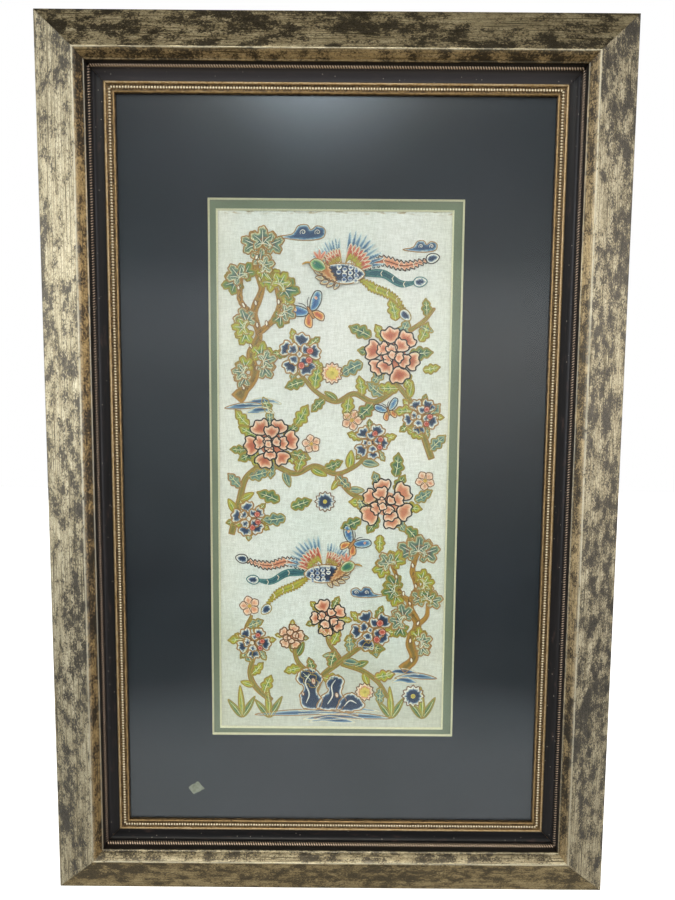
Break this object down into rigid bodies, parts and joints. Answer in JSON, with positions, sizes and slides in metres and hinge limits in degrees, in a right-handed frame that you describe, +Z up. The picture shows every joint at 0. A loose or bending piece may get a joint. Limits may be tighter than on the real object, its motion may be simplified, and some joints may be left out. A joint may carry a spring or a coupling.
{
  "type": "framed silk embroidery panel",
  "caption": "Tall embroidered silk panel behind window mats and glass, in a deep sloping leafed outer frame with a beaded inner frame, held by a wall.",
  "frame": {"origin": "middle of the top rail's back, where the frame meets the wall", "axes": "+X to the right as seen, +Y into the wall, +Z up; the panel faces -Y"},
  "size_m": [0.565, 0.0397, 0.87],
  "materials": {
    "outer_moulding": "worn champagne metal leaf on wood, rubbed dark, satin",
    "inner_moulding": "black lacquered wood with gold and copper leafed beads, satin",
    "glazing": "clear sheet glass",
    "black_board": "matt black faced board with a cream core",
    "sage_board": "matt sage faced board with a cream core",
    "silk": "pale celadon woven silk with silk thread embroidery",
    "backing": "plain brown board"
  },
  "bodies": {
    "root": {"outer_rail_top": "outer_moulding", "outer_rail_bottom": "outer_moulding", "outer_rail_left": "outer_moulding", "outer_rail_right": "outer_moulding", "inner_rail_top": "inner_moulding", "inner_rail_bottom": "inner_moulding", "inner_rail_left": "inner_moulding", "inner_rail_right": "inner_moulding", "glass_sheet": "glazing", "black_mat": "black_board", "sage_mat": "sage_board", "silk_panel": "silk", "back_board": "backing"}
  },
  "joints": []
}
